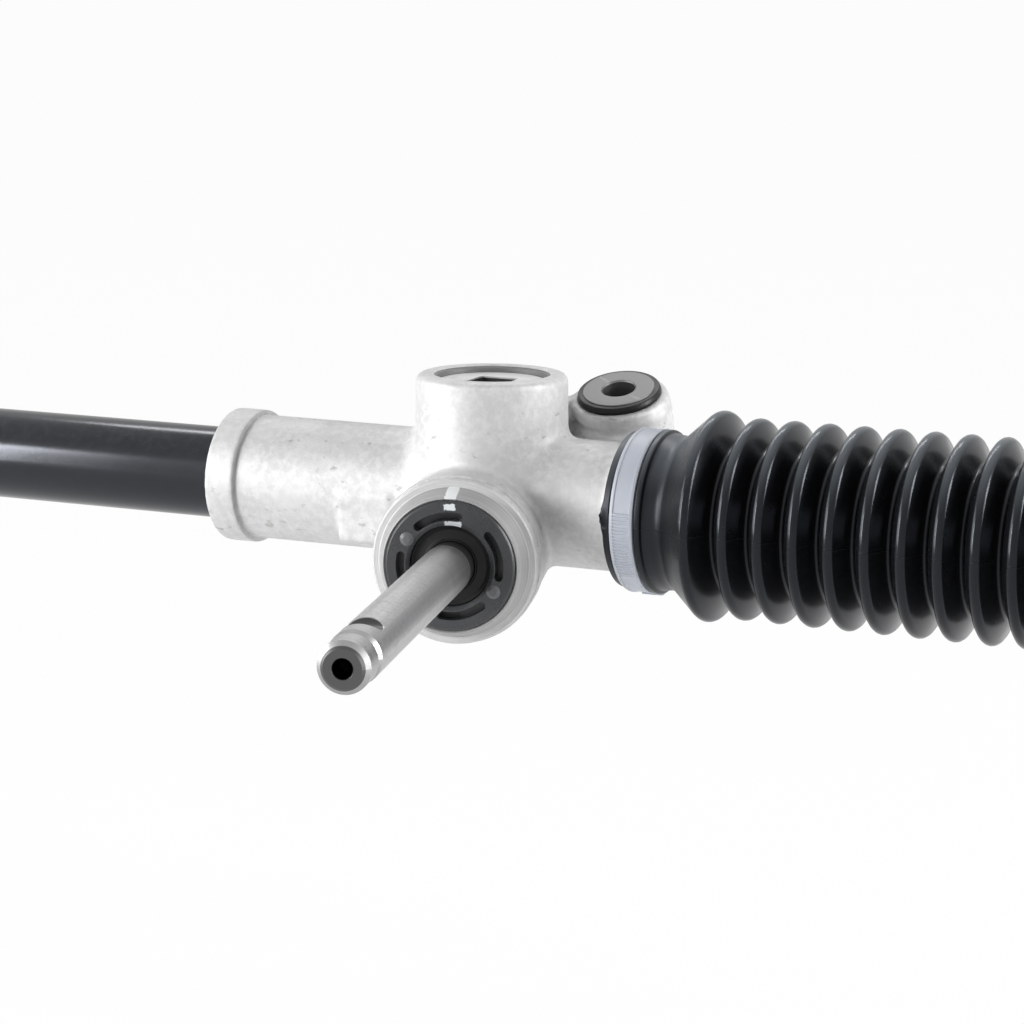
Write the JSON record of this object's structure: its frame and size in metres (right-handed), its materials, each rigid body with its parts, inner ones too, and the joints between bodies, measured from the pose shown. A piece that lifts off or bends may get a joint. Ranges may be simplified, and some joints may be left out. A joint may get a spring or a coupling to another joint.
{
  "type": "steering rack",
  "caption": "Manual rack-and-pinion steering gear with cast pinion housing, painted tube, bellows boots and inner tie rods.",
  "frame": {"origin": "foot of the mount bush's bolt hole, at the sleeve face that rests on the crossmember", "axes": "+X along the rack towards the short side, +Z along the yoke tower's axis, -Y towards the input shaft"},
  "size_m": [1.196, 0.2446, 0.084],
  "materials": {
    "cast_aluminium": "as-cast satin",
    "black_paint": "satin black paint",
    "bush_plastic": "natural acetal",
    "machined_steel": "turned and ground",
    "plated_steel": "grey zinc plate",
    "bearing_steel": "ground",
    "bronze": "sintered",
    "black_rubber": "black",
    "plug_black": "satin black",
    "boot_black": "glossy black",
    "tie_nylon": "pale blue-white",
    "spring_steel": "dark phosphated",
    "rod_steel": "dark phosphated"
  },
  "bodies": {
    "housing": {"pinion_housing": "cast_aluminium", "rack_tube": "black_paint", "tube_end_bush": "bush_plastic", "tube_end_ring": "machined_steel", "yoke": "cast_aluminium", "yoke_liner": "bush_plastic", "yoke_o_ring": "black_rubber", "yoke_spring": "machined_steel", "yoke_plug": "machined_steel", "bearing_outer_ring": "bearing_steel", "bearing_cage": "bearing_steel", "pinion_lower_bush": "bronze", "pinion_plug": "plug_black", "pinion_seal": "black_rubber", "mount_bush_sleeve": "plated_steel", "mount_bush_rubber": "black_rubber", "boot_right": "boot_black", "boot_left": "boot_black", "boot_tie_right": "tie_nylon", "boot_tie_left": "tie_nylon"},
    "rack": {"rack_bar": "machined_steel", "lock_washer_right": "plated_steel", "lock_washer_left": "plated_steel", "inner_joint_right": "plated_steel", "inner_joint_left": "plated_steel"},
    "pinion": {"pinion_shaft": "machined_steel", "pinion_circlip": "spring_steel", "bearing_inner_ring": "bearing_steel"},
    "seat_right": {"ball_seat_right": "bush_plastic"},
    "seat_left": {"ball_seat_left": "bush_plastic"},
    "rod_right": {"tie_rod_right": "rod_steel", "jam_nut_right": "plated_steel", "boot_clip_right": "spring_steel"},
    "rod_left": {"tie_rod_left": "rod_steel", "jam_nut_left": "plated_steel", "boot_clip_left": "spring_steel"}
  },
  "joints": [
    {"name": "rack_travel", "type": "slide", "parent": "housing", "child": "rack", "axis": [1, 0, 0], "range_m": [-0.06, 0.06], "deforming": ["boot_right", "boot_left"]},
    {"name": "pinion_turn", "type": "hinge", "parent": "housing", "child": "pinion", "pos_m": [-0.0373, -0.04361, -0.0116], "axis": [0.2215, -0.9751, 0], "range_deg": [-500, 500]},
    {"name": "lift_right", "type": "hinge", "parent": "rack", "child": "seat_right", "pos_m": [0.1134, -0.04361, 0.0024], "axis": [0, -1, 0], "range_deg": [-18, 18]},
    {"name": "sweep_right", "type": "hinge", "parent": "seat_right", "child": "rod_right", "pos_m": [0.1134, -0.04361, 0.0024], "axis": [0, 0, 1], "range_deg": [-10, 10]},
    {"name": "lift_left", "type": "hinge", "parent": "rack", "child": "seat_left", "pos_m": [-0.5186, -0.04361, 0.0024], "axis": [0, 1, 0], "range_deg": [-18, 18]},
    {"name": "sweep_left", "type": "hinge", "parent": "seat_left", "child": "rod_left", "pos_m": [-0.5186, -0.04361, 0.0024], "axis": [0, 0, -1], "range_deg": [-10, 10]}
  ],
  "couplings": [
    {"joint": "pinion_turn", "follows": "rack_travel", "rad_per_m": -145.12}
  ]
}
